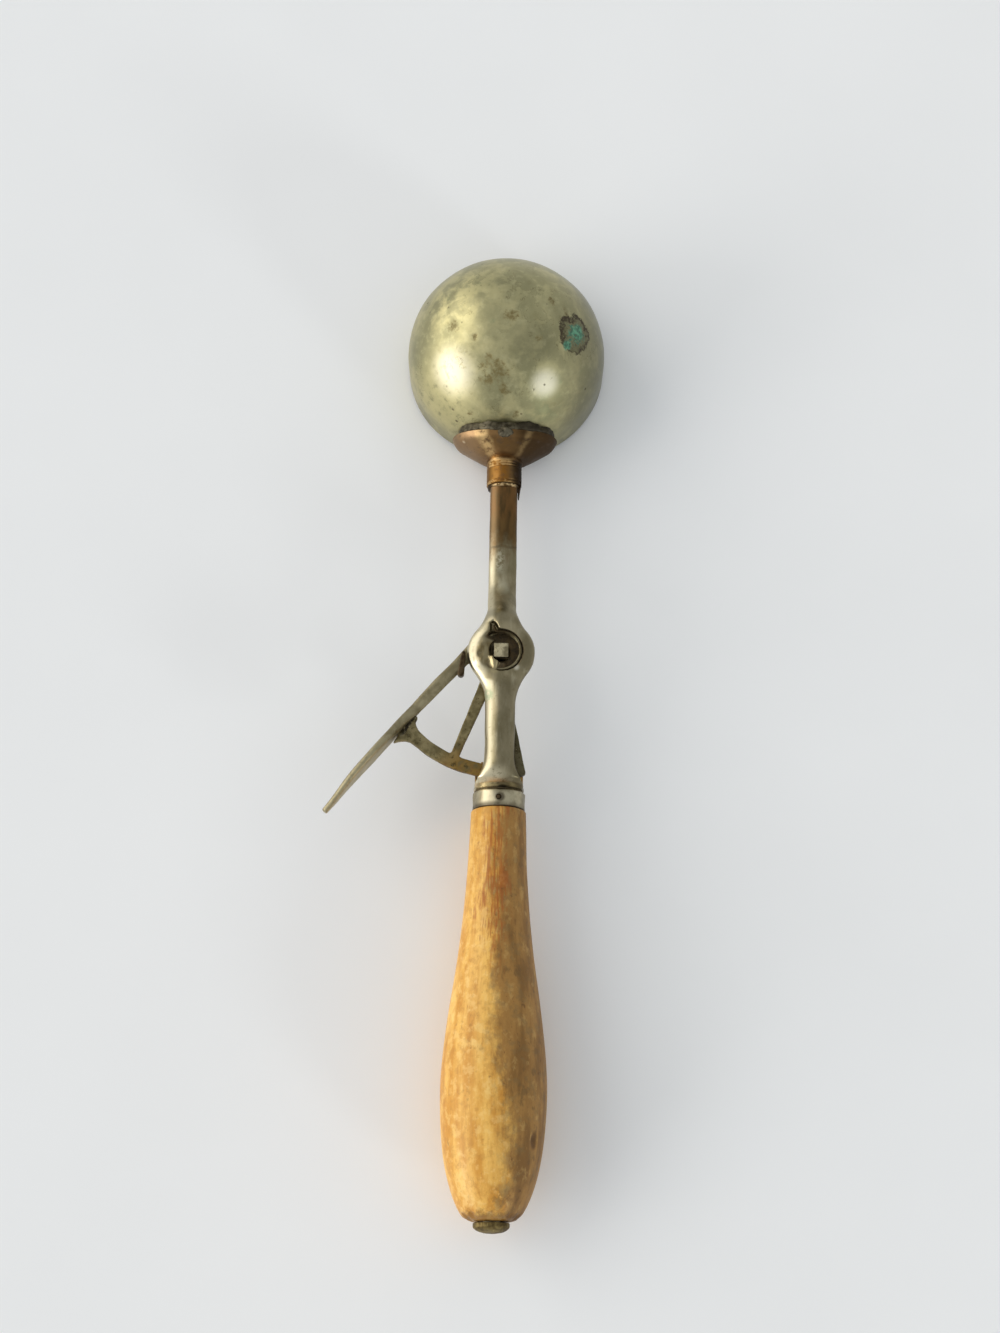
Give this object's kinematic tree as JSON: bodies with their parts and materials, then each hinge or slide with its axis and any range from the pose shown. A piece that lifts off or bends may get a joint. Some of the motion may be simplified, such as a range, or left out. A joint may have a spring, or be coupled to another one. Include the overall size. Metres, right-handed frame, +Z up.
{
  "type": "ice cream scoop",
  "caption": "Thumb-lever ice cream scoop: round metal bowl with a swinging wiper, geared lever and a turned wooden handle.",
  "frame": {"origin": "middle of the part's box, on the surface it lies on", "axes": "+Y from the wooden handle to the bowl, +Z up, the bowl open downwards, thumb lever at -X"},
  "size_m": [0.0774, 0.2826, 0.0384],
  "materials": {
    "nickel_bowl": "worn nickel plate on brass, mottled",
    "rivet_brass": "dull",
    "socket_brass": "brown, plating worn off",
    "solder": "grey solder with dark dirt",
    "bead_solder": "pale solder line",
    "cast_frame": "worn nickel on cast brass",
    "spring_steel": "dark oiled wire",
    "ferrule_nickel": "dented thin tube",
    "nail_steel": "dark",
    "grip_maple": "honey brown, dirt in the grain",
    "rod_steel": "plain",
    "cap_brass": "greenish, dull",
    "lever_nickel": "worn olive-grey nickel",
    "lug_steel": "dark",
    "sector_brass": "olive to rust brown",
    "stud_steel": "worn",
    "washer_brass": "dull",
    "shaft_steel": "plain",
    "collar_brass": "dull",
    "collar_pin_steel": "plain",
    "pinion_brass": "dull",
    "pinion_pin_steel": "plain",
    "wiper_steel": "bright from use",
    "nut_brass": "dull"
  },
  "bodies": {
    "handle": {"bowl": "nickel_bowl", "far_rivet": "rivet_brass", "bowl_socket": "socket_brass", "rim_solder": "solder", "neck_solder": "bead_solder", "frame": "cast_frame", "return_spring": "spring_steel", "ferrule": "ferrule_nickel", "ferrule_nail": "nail_steel", "grip": "grip_maple", "tang_rod": "rod_steel", "end_cap": "cap_brass"},
    "lever": {"thumb_lever": "lever_nickel", "stop_lug": "lug_steel", "gear_sector": "sector_brass", "pivot_stud": "stud_steel", "hub_washer": "washer_brass"},
    "scraper": {"shaft": "shaft_steel", "thrust_collar": "collar_brass", "collar_pin": "collar_pin_steel", "pinion": "pinion_brass", "pinion_pin": "pinion_pin_steel", "wiper": "wiper_steel", "wiper_nut": "nut_brass"}
  },
  "joints": [
    {"name": "lever_press", "type": "hinge", "parent": "handle", "child": "lever", "pos_m": [0.00996, 0.01712, 0.01175], "axis": [0, 0.0224, 0.9997], "range_deg": [0, 27.4], "stiffness_Nm_per_rad": 0.1, "springref_deg": -28.65},
    {"name": "wiper_sweep", "type": "hinge", "parent": "handle", "child": "scraper", "pos_m": [0.00996, 0.01712, 0.01175], "axis": [0, 0.9997, -0.0224], "range_deg": [0, 160]}
  ],
  "couplings": [
    {"joint": "wiper_sweep", "follows": "lever_press", "ratio": 5.8333}
  ]
}
